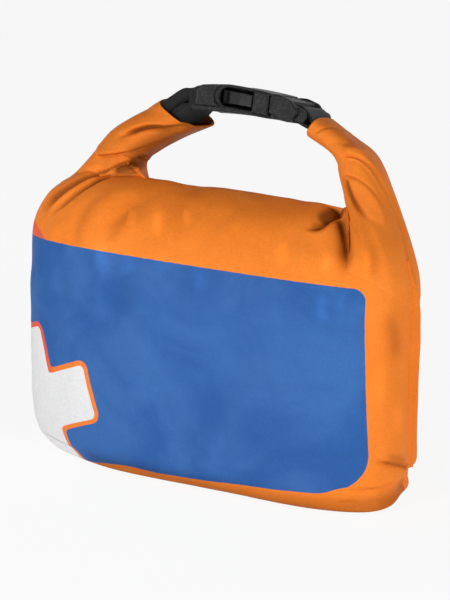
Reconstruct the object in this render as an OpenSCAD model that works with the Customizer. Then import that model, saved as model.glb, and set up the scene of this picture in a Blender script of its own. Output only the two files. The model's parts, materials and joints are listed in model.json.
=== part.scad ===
// Roll-top first aid pouch: a filled dry bag whose rolled mouth is bent up and
// clipped into a carry loop with a side-release buckle. Millimetres, +Z up, the
// front towards -Y, the origin in the middle of the face that it stands on.

/* [Pouch] */
// Width of the filled pouch between its side seams
body_w = 150; // [140:1:190]
// Depth of the filled pouch, front to back
body_d = 60; // [56:1:80]
// Height of the rounded top
body_h = 107; // [100:1:135]
// Thickness of the coated fabric
fabric_t = 0.8; // [0.5:0.1:1.2]
// Radius between the base and the walls
base_r = 5; // [4:1:10]
// Height of the crown above the straight walls
crown_rise = 38; // [28:1:46]
// How far behind the middle the crown is highest
crown_y = 3; // [0:1:8]
// How far the welded side seam stands out
seam_w = 4.5; // [3:0.5:8]

/* [Rolled mouth] */
// Width of the flattened roll, front to back
roll_w = 22; // [18:1:26]
// Thickness of the flattened roll
roll_t = 10; // [8:1:14]
// Turns that the mouth is rolled
roll_turns = 3; // [2:1:4]
// Width of the stiffening strip in the roll's core
strip_w = 14; // [10:1:15]
// Thickness of the stiffening strip
strip_t = 1; // [0.6:0.1:1.5]
// Distance of the roll's axis behind the middle
roll_y = 20; // [16:1:22]

/* [Carry loop] */
// Lean of the loop behind the upright, in degrees
lean = 19; // [0:1:25]
// Distance of the fold line, about which the loop tilts, behind the middle
fold_y = 15; // [13:1:18]
// Height of the fold line above the crown
fold_rise = 5; // [4:1:8]
// Distance of each leg's root from the side seam
leg_inset = 25; // [22:0.5:28]
// Thickness of a leg at its root
leg_root_t = 20; // [18:1:22]
// Thickness of a leg at its tip
leg_tip_t = 10.5; // [10:0.5:12]
// Height of the buckle's middle above the fold line, along the loop
loop_h = 25; // [24:1:34]
// Height above the fold line at which the right leg parts when the buckle opens
part_h = 8; // [7:0.5:9]

/* [Buckle] */
// Width of the webbing
webbing_w = 20; // [18:1:22]
// Thickness of the webbing
webbing_t = 1.4; // [1:0.1:1.6]
// Width of the buckle
buckle_w = 28; // [27:0.5:32]
// Thickness of the buckle
buckle_t = 9; // [8.5:0.5:11]
// Length of the socket half
socket_l = 33; // [32:0.5:38]
// Length of the plug half that stays outside
plug_l = 14.5; // [14:0.5:18]
// Depth that the guide and latches reach into the socket
reach = 19.5; // [19:0.5:20]
// Distance of the socket's mouth from the middle of the pouch
mouth_x = 13; // [9:1:15]
// Clearance between the two halves
buckle_gap = 0.3; // [0.2:0.05:0.5]
// Thickness of a latch arm
arm_t = 2.2; // [1.8:0.1:2.6]
// Turn of a latch arm when it is pressed in, in degrees
press_turn = 10; // [9:0.5:12]

/* [Kit] */
// Height of the gauze rolls
roll_h = 58; // [50:1:60]
// Diameter of a gauze roll
gauze_d = 27; // [24:0.5:28]
// Outer diameter of the adhesive tape
tape_d = 28; // [26:1:30]
// Width of the adhesive tape
tape_w = 12.5; // [10:0.5:15]
// Bore of the tape's core
tape_bore = 14; // [10:0.5:18]
// Wall of the tape's core
tape_core = 1.2; // [0.8:0.1:2]

/* [Hidden] */

orange = "#E87A26";
black = "#202124";
paper = "#EDEDE8";

round_fn = 48;
play = 0.4;              // gap between soft pieces that move past each other
leg_x = body_w / 2 - leg_inset;
squareness = 3;          // exponent of the pouch's plan outline
ring_steps = 24;         // stations round half the pouch
corner_steps = 3;        // stations up the base corner
wall_steps = 4;          // stations up the wall
crown_steps = 12;        // stations over the crown
rows = corner_steps + wall_steps + crown_steps;
crown_share = 0.65;      // share of the crown's stations in front of its top
wall_top = body_h - crown_rise;
tuck_y = roll_y - roll_w / 2; // line where front and back panel meet under the roll
tuck_z = body_h - roll_t - 9;
tuck_gap = 1.5;          // half the gap between the panels there
shoulder_z = tuck_z + 14; // height of the side seam's top end
roll_l = 2 * (leg_x - leg_root_t / 2 - play);
seam_top_x = leg_x + leg_root_t / 2 + 4;
fold_z = body_h + fold_rise;
leg_r = roll_w / 2;      // radius of the rounded root on which a leg tilts

function ease(t) = t * t * (3 - 2 * t);
function unit(v) = v / norm(v);

// Point of the plan outline, as shares of half the width and half the depth
function plan(angle) =
    let (c = cos(angle), s = sin(angle))
    [c, s] / pow(pow(abs(c), squareness) + pow(abs(s), squareness), 1 / squareness);

// Stretch of the wall that a station lies in, and how far along it
function station(i) =
    i <= corner_steps ? [0, i / corner_steps]
    : i <= corner_steps + wall_steps ? [1, (i - corner_steps) / wall_steps]
    : [2, (i - corner_steps - wall_steps) / crown_steps];

// Base corner and straight wall, as [distance from the middle, height]
function wall(half, i) =
    let (s = station(i))
    s[0] == 0
        ? [half - base_r + base_r * sin(90 * s[1]), fabric_t + base_r * (1 - cos(90 * s[1]))]
        : [half, fabric_t + base_r + (wall_top - fabric_t - base_r) * s[1]];

function front_profile(i) =
    let (s = station(i), rise = 90 * s[1] / crown_share,
         fall = 90 * (s[1] - crown_share) / (1 - crown_share), w = wall(body_d / 2, i))
    s[0] < 2 ? [-w[0], w[1]]
    : s[1] <= crown_share
        ? [-body_d / 2 + (crown_y + body_d / 2) * (1 - cos(rise)), wall_top + crown_rise * sin(rise)]
        : [crown_y + (tuck_y - tuck_gap - crown_y) * sin(fall), tuck_z + (body_h - tuck_z) * cos(fall)];

function back_profile(i) =
    let (s = station(i), turn = 90 * s[1])
    s[0] < 2 ? wall(body_d / 2, i)
    : [body_d / 2 - (body_d / 2 - tuck_y - tuck_gap) * (1 - cos(turn)),
       wall_top + (tuck_z - wall_top) * sin(turn)];

// Side seam, as [x, y, z]
function seam(i) =
    let (s = station(i), turn = 90 * s[1], w = wall(body_w / 2, i))
    s[0] < 2 ? [w[0], 0, w[1]]
    : [body_w / 2 - (body_w / 2 - seam_top_x) * (1 - cos(turn)), tuck_y * ease(s[1]),
       wall_top + (shoulder_z - wall_top) * sin(turn)];

// Point of a panel at station i up and angle round it, 0 at the right seam and 180 at the left
function panel_point(i, angle, profile) =
    let (q = plan(angle), s = seam(i))
    [s[0] * q[0], s[1] + (profile[0] - s[1]) * q[1], s[2] + (profile[1] - s[2]) * q[1]];

function panel_grid(profiles) =
    [for (i = [0:rows]) [for (j = [0:ring_steps]) panel_point(i, 180 * j / ring_steps, profiles[i])]];

function near(i, last) = max(0, min(last, i));

// Inward normal of a grid; at the two seams it lies across the seam
function inward(grid, i, j, flip) =
    let (up = grid[near(i + 1, rows)][j] - grid[near(i - 1, rows)][j],
         along = grid[i][near(j + 1, ring_steps)] - grid[i][near(j - 1, ring_steps)],
         side = [up[2], 0, -up[0]] * (j == 0 ? -1 : 1))
    j == 0 || j == ring_steps ? unit([abs(up[2]) * (j == 0 ? -1 : 1), 0, j == 0 ? up[0] : -up[0]])
    : unit(cross(up, along)) * flip;

function inner_grid(grid, flip) =
    [for (i = [0:rows]) [for (j = [0:ring_steps]) grid[i][j] + fabric_t * inward(grid, i, j, flip)]];

// Closed solid between two grids of points, the first of them outside
module sheet(outer, inner, flip = false) {
    across = len(outer[0]);
    up = len(outer);
    count = across * up;
    points = concat([for (row = outer) each row], [for (row = inner) each row]);
    function id(r, c, layer) = layer * count + r * across + c;
    function quad(a, b, c, d) = [[a, b, c], [a, c, d]];
    faces = concat(
        [for (r = [0:up - 2], c = [0:across - 2])
            each quad(id(r, c, 0), id(r, c + 1, 0), id(r + 1, c + 1, 0), id(r + 1, c, 0))],
        [for (r = [0:up - 2], c = [0:across - 2])
            each quad(id(r, c, 1), id(r + 1, c, 1), id(r + 1, c + 1, 1), id(r, c + 1, 1))],
        [for (c = [0:across - 2])
            each quad(id(0, c, 0), id(0, c, 1), id(0, c + 1, 1), id(0, c + 1, 0))],
        [for (c = [0:across - 2])
            each quad(id(up - 1, c, 0), id(up - 1, c + 1, 0), id(up - 1, c + 1, 1), id(up - 1, c, 1))],
        [for (r = [0:up - 2])
            each quad(id(r, 0, 0), id(r + 1, 0, 0), id(r + 1, 0, 1), id(r, 0, 1))],
        [for (r = [0:up - 2])
            each quad(id(r, across - 1, 0), id(r, across - 1, 1), id(r + 1, across - 1, 1), id(r + 1, across - 1, 0))]);
    polyhedron(points, flip ? [for (f = faces) [f[2], f[1], f[0]]] : faces);
}

// Closed solid through rings of points, each ring flat and convex
module loft(rings) {
    sides = len(rings[0]);
    last = len(rings) - 1;
    polyhedron(
        [for (ring = rings) each ring],
        concat(
            [for (k = [1:sides - 2]) [0, k, k + 1]],
            [for (k = [1:sides - 2]) [last * sides, last * sides + k + 1, last * sides + k]],
            [for (r = [0:last - 1], k = [0:sides - 1])
                let (a = r * sides + k, b = r * sides + (k + 1) % sides)
                each [[a, a + sides, b + sides], [a, b + sides, b]]]));
}

// Legs of the loop, in the loop's own frame: x along it, y across it, z up from the fold line

module in_loop() {
    translate([0, fold_y, fold_z]) rotate([-lean, 0, 0]) children();
}

leg_sides = 20;

// Ring of a leg about [x, z]; across turns its thickness away from x
function leg_ring(x, z, across, thick, wide) =
    [for (k = [0:leg_sides - 1])
        let (q = plan(360 * k / leg_sides) / 2)
        [x + thick * q[0] * cos(across), wide * q[1], z + thick * q[0] * sin(across)]];

// Rings of the rounded root, below height top
function root_rings(x, side, top) =
    concat(
        [for (drop = [0.97, 0.85, 0.65, 0.4, 0.2])
            leg_ring(side * x, -leg_r * drop, 0, leg_root_t, 2 * leg_r * sqrt(1 - drop * drop))],
        [for (z = top > 0 ? [0, top / 2, top] : [0])
            leg_ring(side * (x - z * z / leg_curve), z, 0, leg_root_t - leg_taper * z, roll_w)]);

// Share of the way along a leg that is bent into a quarter ellipse by its belly
function bent(t, belly, curve) = (1 - belly) * t + belly * curve;

// Rings of the upper leg, which turns over towards the buckle and ends at tip_x
function tip_rings(side, start_z, tip_x, tip_z, belly) =
    let (x0 = leg_x - start_z * start_z / leg_curve, t0 = leg_root_t - leg_taper * start_z)
    [for (k = [0:10])
        let (t = k / 10, turn = tip_turn * ease(min(1, 1.4 * t)))
        leg_ring(side * (x0 - (x0 - tip_x) * bent(t, belly, 1 - cos(90 * t))),
                 start_z + (tip_z - start_z) * bent(t, belly, sin(90 * t)),
                 side * turn, t0 + (leg_tip_t - t0) * pow(t, 0.7), roll_w)];

left_tip_x = socket_l - mouth_x + 2;
right_tip_x = mouth_x + plug_l + 2.5;
tip_drop = 6;            // how far a leg's tip ends below the buckle's middle
tip_turn = 57;           // slope of a leg's tip from the upright
leg_curve = 18;          // how soon a leg bends in above the fold line
leg_taper = 0.8;         // thickness that a leg loses with its height there
left_belly = 0;          // the left leg runs straight to the buckle
right_belly = 0.3;

module left_roll_leg() {
    color(orange) in_loop() difference() {
        loft(concat(root_rings(leg_x, -1, 0), tip_rings(-1, 1.5, left_tip_x, loop_h - tip_drop, left_belly)));
        webbing_room(-1);
    }
}

module right_roll_leg_root() {
    color(orange) in_loop() loft(root_rings(leg_x, 1, part_h - play / 2));
}

module right_roll_leg_tip() {
    color(orange) in_loop() difference() {
        loft(tip_rings(1, part_h + play / 2, right_tip_x, loop_h - tip_drop, right_belly));
        webbing_room(1);
    }
}

// Pouch

front_profiles = [for (i = [0:rows]) front_profile(i)];
back_profiles = [for (i = [0:rows]) back_profile(i)];

// Room for the rounded root of a leg
module leg_room() {
    for (side = [-1, 1])
        translate([side * leg_x, fold_y, fold_z]) rotate([0, 90, 0])
            cylinder(r = leg_r + play, h = leg_root_t + 2 * play, center = true, $fn = round_fn);
}

module panel(profiles, flip) {
    outer = panel_grid(profiles);
    sheet(outer, inner_grid(outer, flip ? 1 : -1), flip);
}

module front_panel() {
    color(orange) difference() {
        panel(front_profiles, false);
        leg_room();
    }
}

module back_panel() {
    color(orange) difference() {
        panel(back_profiles, true);
        leg_room();
    }
}

base_lap = 2;            // how far the base panel reaches under the walls

module base_panel() {
    half = [body_w / 2 - base_r + base_lap, body_d / 2 - base_r + base_lap];
    color(orange) linear_extrude(fabric_t)
        polygon([for (k = [0:71]) let (q = plan(5 * k)) [half[0] * q[0], half[1] * q[1]]]);
}

// Welded seam: both fabrics, standing out at the side
module side_seam(side) {
    first = corner_steps;
    last = corner_steps + wall_steps + 5;
    color(orange) loft([for (i = [first:last])
        let (s = seam(i), t = seam(min(i + 1, last)) - seam(i - 1), n = unit([t[2], 0, -t[0]]))
        [for (q = [[0.1, -side], [0.1, side], [seam_w, side], [seam_w, -side]])
            [side * (s[0] + q[0] * n[0]), s[1] + fabric_t * q[1], s[2] + q[0] * n[2]]]]);
}

module left_side_seam() side_seam(-1);

module right_side_seam() side_seam(1);

// Rolled mouth

// Flattened spiral of the welded mouth, as a closed outline
spiral_steps = 24;
roll_pitch = (roll_t - strip_t - 3) / 2 / roll_turns;

// Point at a number of turns; offset moves it out through the fabric
function spiral(turn, offset) =
    let (r = strip_t / 2 + 1 + roll_pitch * turn + offset, flat = (roll_w - roll_t) / 2 + 0.5,
         a = 360 * turn, right = cos(a) >= 0 ? 1 : -1)
    [flat * min(1, max(-1, 4 * cos(a))) + r * cos(a), r * sin(a)];

module roll_outline() {
    steps = [0:spiral_steps * roll_turns];
    outer = [for (k = steps) spiral(k / spiral_steps, fabric_t)];
    inner = [for (k = steps) spiral(k / spiral_steps, 0)];
    polygon(concat(outer, [for (k = [spiral_steps * roll_turns:-1:0]) inner[k]]));
}

module along_roll(length) {
    translate([0, roll_y, tuck_z + roll_t / 2 + play]) rotate([90, 0, 90])
        linear_extrude(length, center = true) children();
}

module rolled_mouth() {
    color(orange) along_roll(roll_l) roll_outline();
}

module stiffening_strip() {
    color(black) along_roll(roll_l) square([strip_w, strip_t], center = true);
}

// Buckle, in the loop's own frame raised to the buckle's middle

socket_x0 = mouth_x - socket_l;
plug_x0 = mouth_x + buckle_gap;
plug_x1 = mouth_x + plug_l;
half_w = buckle_w / 2;
side_wall = 1.7;
plate_t = 1.6;           // plates above and below the cavity
cavity_w = half_w - side_wall;
cavity_h = buckle_t / 2 - plate_t;
bridge_l = 6.6;          // wall that a latch catches behind
window_l = 13.3;         // side window that a latch fills
bar_r = 1.7;
lap_r = bar_r + 0.2;     // inside of a webbing loop round its bar
lap_out = lap_r + webbing_t;
strap_gap = webbing_w / 2 + 0.7;
socket_bar_x = socket_x0 + lap_out;
plug_bar_x = plug_x1 - lap_out;
slot_l = 2 * lap_out + 0.3;
tail = [12, 9.5];        // how far a webbing loop runs into its leg, along and down
guide_w = 4.4;
stem_y = cavity_w - buckle_gap - arm_t / 2;
end_taper = 1.7;         // how much narrower each side of the plug is at its outer end
hinge_x = mouth_x + 5;   // line about which a latch arm bends
latch_x1 = mouth_x - bridge_l - buckle_gap;
latch_x0 = latch_x1 - window_l + 2 * buckle_gap;
latch_h = cavity_h - buckle_gap;

module at_buckle() {
    in_loop() translate([0, 0, loop_h]) children();
}

// Rounded outline from x0 to x1, half_width to each side
module rounded(x0, x1, half_width, r) {
    for (x = [x0 + r, x1 - r], y = [r - half_width, half_width - r])
        translate([x, y]) circle(r = r, $fn = round_fn);
    translate([x0 + r, -half_width]) square([x1 - x0 - 2 * r, 2 * half_width]);
    translate([x0, r - half_width]) square([x1 - x0, 2 * (half_width - r)]);
}

// Moulded block with rounded corners and long edges
module block(x0, x1, half_width, half_height, r) {
    intersection() {
        linear_extrude(2 * half_height, center = true) rounded(x0, x1, half_width, r);
        translate([x0 - 1, 0, 0]) rotate([90, 0, 90]) linear_extrude(x1 - x0 + 2)
            rounded(-half_width, half_width, half_height, 2);
    }
}

module box(x0, x1, y0, y1, half_height) {
    translate([x0, y0, -half_height]) cube([x1 - x0, y1 - y0, 2 * half_height]);
}

module bar(x) {
    translate([x, 0, 0]) rotate([90, 0, 0])
        cylinder(r = bar_r, h = 2 * strap_gap + 1, center = true, $fn = round_fn);
}

// Outline of a webbing loop: a capsule from its bar down into the leg on one side
module capsule(side, r) {
    run = norm(tail);
    rotate(-side * atan(tail[1] / tail[0])) {
        circle(r = r, $fn = round_fn);
        translate([side > 0 ? 0 : -run, -r]) square([run, 2 * r]);
        translate([side * run, 0]) circle(r = r, $fn = round_fn);
    }
}

module webbing_shape(side, r, width) {
    translate([side > 0 ? plug_bar_x : socket_bar_x, 0, loop_h]) rotate([90, 0, 0])
        linear_extrude(width, center = true) capsule(side, r);
}

module webbing_room(side) {
    webbing_shape(side, lap_out + 0.1, webbing_w + 0.2);
}

module webbing_loop(side) {
    color(black) in_loop() difference() {
        webbing_shape(side, lap_out, webbing_w);
        webbing_shape(side, lap_r, webbing_w + 1);
    }
}

module left_webbing_loop() webbing_loop(-1);

module right_webbing_loop() webbing_loop(1);

module buckle_socket() {
    window_x1 = mouth_x - bridge_l;
    color(black) at_buckle() {
        difference() {
            block(socket_x0, mouth_x, half_w, buckle_t / 2, 3);
            box(mouth_x - reach - 1, mouth_x + 1, -cavity_w, cavity_w, cavity_h);
            box(window_x1 - window_l, window_x1, -half_w - 1, half_w + 1, cavity_h);
            box(socket_x0 - 1, socket_x0 + slot_l, -strap_gap, strap_gap, buckle_t);
        }
        bar(socket_bar_x);
    }
}

module buckle_plug() {
    slot_x0 = plug_x1 - slot_l;
    press_room = (hinge_x - plug_x0) * sin(press_turn) + buckle_gap; // for an arm that is pressed in
    color(black) at_buckle() {
        difference() {
            block(plug_x0, plug_x1, half_w, buckle_t / 2, 3);
            for (side = [0, 1]) mirror([0, side, 0])
                union() {
                    box(plug_x0 - 1, hinge_x + arm_t / 2 + buckle_gap, stem_y - arm_t / 2 - press_room, cavity_w, cavity_h);
                    linear_extrude(buckle_t + 2, center = true)
                        polygon([[slot_x0, half_w], [plug_x1, half_w - end_taper], [plug_x1 + 1, half_w - end_taper],
                                 [plug_x1 + 1, half_w + 1], [slot_x0, half_w + 1]]);
                }
            box(slot_x0, plug_x1 + 1, -strap_gap, strap_gap, buckle_t);
        }
        bar(plug_bar_x);
        box(mouth_x - reach, plug_x0 + 2, -guide_w / 2, guide_w / 2, latch_h);
    }
}

// Latch arm on the back side: a stem from its bending line, and a head that fills the window
module latch_arm() {
    linear_extrude(2 * latch_h, center = true) {
        translate([hinge_x, stem_y]) circle(r = arm_t / 2, $fn = round_fn);
        polygon([[hinge_x, stem_y - arm_t / 2], [hinge_x, stem_y + arm_t / 2],
                 [latch_x1, stem_y + arm_t / 2], [latch_x1, half_w], [latch_x0 + 5, half_w],
                 [latch_x0, stem_y + arm_t / 2], [latch_x0, stem_y - arm_t / 2]]);
    }
}

module back_latch_arm() {
    color(black) at_buckle() latch_arm();
}

module front_latch_arm() {
    color(black) at_buckle() mirror([0, 1, 0]) latch_arm();
}

// Kit inside the pouch, lowest piece first

lay = 0.3;               // gap between kit pieces
bandage = [104, 32, 10];
stand_z = fabric_t + 0.2 + bandage[2] + lay;
sachet = [54, 3.4, 54];
sachets = 4;
front_y = -body_d / 2 + 8;
leaflet = [50, 1.6, 52];
plaster = [52, 5, 54];
glove = [50, 6, 50];
left_stack = sachets * (sachet[1] + lay);                                // depth of the front row
right_stack = leaflet[1] / 2 + lay + plaster[1] + lay + glove[1] + lay;
tape_at = [46, front_y + right_stack + tape_d / 2];
gauze_y = front_y + max(left_stack, right_stack) + gauze_d / 2;
dressing = [28, 24, 42];

// Pack with rounded corners, standing on z = 0
module pack(size, r) {
    linear_extrude(size[2]) rounded(-size[0] / 2, size[0] / 2, size[1] / 2, r);
}

// Upright pack: its rounded outline faces the front
module upright(size, r) {
    translate([0, size[1] / 2, size[2] / 2]) rotate([90, 0, 0])
        linear_extrude(size[1]) rounded(-size[0] / 2, size[0] / 2, size[2] / 2, r);
}

module triangular_bandage() {
    color(paper) translate([0, 0, fabric_t + 0.2]) {
        layer = (bandage[2] - 3 * 0.2) / 4;
        for (k = [0:3]) translate([0, 0, k * (layer + 0.2)]) pack([bandage[0] - k % 2, bandage[1] - k % 2, layer], 4);
        translate([0, 0, bandage[2] / 2])
            cube([bandage[0] - 12, bandage[1] - 12, bandage[2] - 1], center = true);
    }
}

module compress_packs() {
    color(paper) for (k = [0:sachets - 1])
        translate([-sachet[0] / 2 - 2, front_y + sachet[1] / 2 + k * (sachet[1] + lay), stand_z]) upright(sachet, 3);
}

module instruction_leaflet() {
    color(paper) translate([29, front_y, stand_z]) upright(leaflet, 1);
}

module plaster_pack() {
    color(paper) translate([29, front_y + leaflet[1] / 2 + lay + plaster[1] / 2, stand_z]) upright(plaster, 3);
}

module glove_pack() {
    color("#5B87B5") translate([29, front_y + right_stack - lay - glove[1] / 2, stand_z]) upright(glove, 5);
}

module gauze_rolls() {
    color(paper) for (k = [0:2])
        translate([-49 + k * (gauze_d + 2), gauze_y, stand_z]) cylinder(d = gauze_d, h = roll_h, $fn = round_fn);
}

module adhesive_tape() {
    color(paper) translate([tape_at[0], tape_at[1], stand_z]) difference() {
        cylinder(d = tape_d, h = tape_w, $fn = round_fn);
        translate([0, 0, -1]) cylinder(d = tape_bore + 2 * tape_core, h = tape_w + 2, $fn = round_fn);
    }
}

module tape_core_ring() {
    color("#B9BCC0") translate([tape_at[0], tape_at[1], stand_z]) difference() {
        cylinder(d = tape_bore + 2 * tape_core, h = tape_w, $fn = round_fn);
        translate([0, 0, -1]) cylinder(d = tape_bore, h = tape_w + 2, $fn = round_fn);
    }
}

module wound_dressing() {
    color(paper) translate([tape_at[0] - 1, tape_at[1], stand_z + tape_w + lay]) pack(dressing, 6);
}

tweezers_z = stand_z + roll_h + lay;

// Tweezers lying flat: two blades that meet at one end
module tweezers() {
    blade = [82, 1.2, 6];
    color("#C3C7CB") translate([-42, -3, tweezers_z]) {
        for (side = [0, 1]) mirror([0, side, 0]) linear_extrude(blade[2])
            polygon([[0, 0], [0, 1.2], [24, 4.2], [blade[0], 1.4], [blade[0], 0.4], [24, 3], [8, 0.8], [8, 0]]);
    }
}

module rescue_blanket() {
    color("#D2B45A") translate([0, -4, tweezers_z + 6 + lay]) {
        pack([84, 30, 4], 4);
        translate([0, 0, 4]) pack([82, 28, 4.5], 4);
    }
}

front_panel();
back_panel();
base_panel();
left_side_seam();
right_side_seam();
rolled_mouth();
stiffening_strip();
left_roll_leg();
right_roll_leg_root();
right_roll_leg_tip();
left_webbing_loop();
right_webbing_loop();
buckle_socket();
buckle_plug();
front_latch_arm();
back_latch_arm();
triangular_bandage();
compress_packs();
instruction_leaflet();
gauze_rolls();
wound_dressing();
adhesive_tape();
tape_core_ring();
plaster_pack();
glove_pack();
tweezers();
rescue_blanket();
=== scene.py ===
"""Roll-top first aid pouch: fabric, print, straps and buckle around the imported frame."""
import json
import math

import bmesh
import bpy
import numpy as np
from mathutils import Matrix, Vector

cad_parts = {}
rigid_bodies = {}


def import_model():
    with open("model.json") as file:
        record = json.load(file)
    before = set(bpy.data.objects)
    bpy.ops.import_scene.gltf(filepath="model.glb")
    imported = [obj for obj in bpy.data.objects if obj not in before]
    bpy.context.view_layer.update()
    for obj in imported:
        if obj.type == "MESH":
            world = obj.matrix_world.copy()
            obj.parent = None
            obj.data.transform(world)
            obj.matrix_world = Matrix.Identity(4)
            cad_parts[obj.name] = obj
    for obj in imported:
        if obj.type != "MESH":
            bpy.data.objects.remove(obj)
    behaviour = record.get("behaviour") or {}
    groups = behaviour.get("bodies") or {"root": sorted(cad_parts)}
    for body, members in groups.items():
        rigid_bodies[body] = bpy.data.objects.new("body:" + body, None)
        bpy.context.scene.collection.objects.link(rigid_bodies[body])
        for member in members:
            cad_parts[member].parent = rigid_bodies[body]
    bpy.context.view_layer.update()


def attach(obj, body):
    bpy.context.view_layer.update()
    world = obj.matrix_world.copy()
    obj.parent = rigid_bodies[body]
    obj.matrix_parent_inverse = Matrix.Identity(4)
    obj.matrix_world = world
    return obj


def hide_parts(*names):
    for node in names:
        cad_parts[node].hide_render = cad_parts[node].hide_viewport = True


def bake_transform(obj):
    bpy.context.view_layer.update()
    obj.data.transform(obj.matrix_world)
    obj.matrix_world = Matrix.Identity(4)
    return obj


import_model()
MM = 0.001

# ---------------------------------------------------------------- node helpers


class Value:
    """A value in a node tree; arithmetic with it adds math nodes."""

    def __init__(self, graph, socket):
        self.graph, self.socket = graph, socket

    def __add__(self, other):
        return self.graph.math("ADD", self, other)

    def __sub__(self, other):
        return self.graph.math("SUBTRACT", self, other)

    def __rsub__(self, other):
        return self.graph.math("SUBTRACT", other, self)

    def __mul__(self, other):
        return self.graph.math("MULTIPLY", self, other)


class Graph:
    """Short-hand for building the node tree of one material or world."""

    def __init__(self, owner):
        owner.use_nodes = True
        self.owner = owner
        self.nodes, self.links = owner.node_tree.nodes, owner.node_tree.links

    def put(self, socket, value):
        if isinstance(value, Value):
            self.links.new(value.socket, socket)
        else:
            socket.default_value = value

    def node(self, kind, inputs=(), output=0, **settings):
        """A new node with its settings and its (socket, value) inputs; gives one output."""
        node = self.nodes.new("ShaderNode" + kind)
        for key, value in settings.items():
            setattr(node, key, value)
        for socket, value in inputs:
            self.put(node.inputs[socket], value)
        return Value(self, node.outputs[output]) if node.outputs else None

    def shade(self, inputs):
        for socket, value in inputs.items():
            self.put(self.nodes["Principled BSDF"].inputs[socket], value)

    def math(self, op, a, b=0.0, c=0.0, clamp=False):
        return self.node("Math", enumerate((a, b, c)), operation=op, use_clamp=clamp)

    def sine(self, value):
        return self.math("SINE", value)

    def noise(self, vector, scale, detail=3.0, rough=0.5, distort=0.0):
        return self.node("TexNoise", (("Vector", vector), ("Scale", scale), ("Detail", detail),
                                      ("Roughness", rough), ("Distortion", distort)), "Fac")

    def ramp(self, value, low, high, to_low=0.0, to_high=1.0):
        return self.node("MapRange", enumerate((value, low, high, to_low, to_high)),
                         interpolation_type="SMOOTHSTEP")

    def mix(self, factor, a, b):
        return self.node("Mix", ((0, factor), (6, a), (7, b)), 2, data_type="RGBA")

    def bump(self, height, distance, strength=1.0, normal=None):
        inputs = [("Strength", strength), ("Distance", distance), ("Height", height)]
        return self.node("Bump", inputs + ([("Normal", normal)] if normal else []))

    def position(self):
        return self.node("TexCoord", output="Object")

    def cloth(self):
        """The fabric's own coordinates, in millimetres."""
        split = self.node("SeparateXYZ", [(0, self.node("UVMap", uv_map="cloth"))])
        return [Value(self, split.socket.node.outputs[k]) * 1000.0 for k in (0, 1)]

    def seen_rays(self):
        """1 for rays that show a surface to the eye: straight, mirrored or through glass."""
        outputs = self.nodes.new("ShaderNodeLightPath").outputs
        total = Value(self, outputs["Is Camera Ray"])
        for ray in ("Is Glossy Ray", "Is Transmission Ray"):
            total = self.math("ADD", total, Value(self, outputs[ray]), clamp=True)
        return total


def rgb(r, g, b):
    return (r, g, b, 1.0)


def scaled(colour, factor, lift=0.0):
    return rgb(*(min(1.0, c * factor + lift) for c in colour[:3]))


# ---------------------------------------------------------------- camera, light, floor

AZIMUTH, ELEVATION = math.radians(25), math.radians(20)
CAMERA_DISTANCE, SENSOR = 1.6, 36.0
VIEW_HEIGHT = 0.2202                    # metres across the tall side of the frame
TARGET = Vector((0.0, 0.0, 0.0649))
LIGHT_WHITE, AMBIENT = rgb(1, 1, 1), 0.13
FLOOR_HALF, FLOOR_GLOW = 3.5, 0.90      # what doesn't glow keeps the object's soft shadow


def direction(azimuth, elevation):
    """Unit vector from the object towards azimuth (0 is the front, + is to the right)."""
    return Vector((math.sin(azimuth) * math.cos(elevation),
                   -math.cos(azimuth) * math.cos(elevation), math.sin(elevation)))


def place(name, data, distance=None, azimuth=0.0, elevation=0.0):
    """A new object; with a distance it stands off the target and faces it."""
    obj = bpy.data.objects.new(name, data)
    bpy.context.collection.objects.link(obj)
    if distance is not None:
        obj.location = TARGET + distance * direction(azimuth, elevation)
        obj.rotation_euler = (TARGET - obj.location).to_track_quat("-Z", "Y").to_euler()
    return obj


def add_camera():
    cam = bpy.data.cameras.new("camera")
    cam.sensor_width = SENSOR
    cam.lens = SENSOR * CAMERA_DISTANCE / VIEW_HEIGHT
    cam.clip_end = 20.0
    bpy.context.scene.camera = place("camera", cam, CAMERA_DISTANCE, AZIMUTH, ELEVATION)


def add_softbox(name, azimuth, elevation, distance, size, power):
    light = bpy.data.lights.new(name, "AREA")
    light.shape = "RECTANGLE"
    light.size, light.size_y = size
    light.energy = power
    place(name, light, distance, math.radians(azimuth), math.radians(elevation))


def add_world():
    g = Graph(bpy.data.worlds.new("studio"))
    g.nodes.clear()
    lit = g.node("Background", (("Color", LIGHT_WHITE), ("Strength", AMBIENT)))
    seen = g.node("Background", (("Color", LIGHT_WHITE),))
    mix = g.node("MixShader", ((0, g.seen_rays()), (1, lit), (2, seen)))
    g.node("OutputWorld", (("Surface", mix),))
    bpy.context.scene.world = g.owner


def add_floor():
    mesh = bpy.data.meshes.new("floor")
    h = FLOOR_HALF
    mesh.from_pydata([(-h, -h, 0), (h, -h, 0), (h, h, 0), (-h, h, 0)], [], [(0, 1, 2, 3)])
    g = Graph(bpy.data.materials.new("floor_white"))
    g.shade({"Base Color": rgb(0.9, 0.9, 0.9), "Roughness": 0.9})
    plain = Value(g, g.nodes["Principled BSDF"].outputs[0])
    glow = g.node("Emission", (("Color", LIGHT_WHITE),))
    mix = g.node("MixShader", ((0, g.seen_rays() * FLOOR_GLOW), (1, plain), (2, glow)))
    g.put(g.nodes["Material Output"].inputs["Surface"], mix)
    mesh.materials.append(g.owner)
    place("floor", mesh)


add_camera()
add_world()
add_floor()
add_softbox("key", -22, 14, 1.1, (0.45, 0.4), 8.6)
add_softbox("fill", 68, 10, 1.3, (0.4, 0.6), 10.0)
bpy.context.scene.view_settings.view_transform = "Standard"

# ---------------------------------------------------------------- fabric and its print

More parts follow.
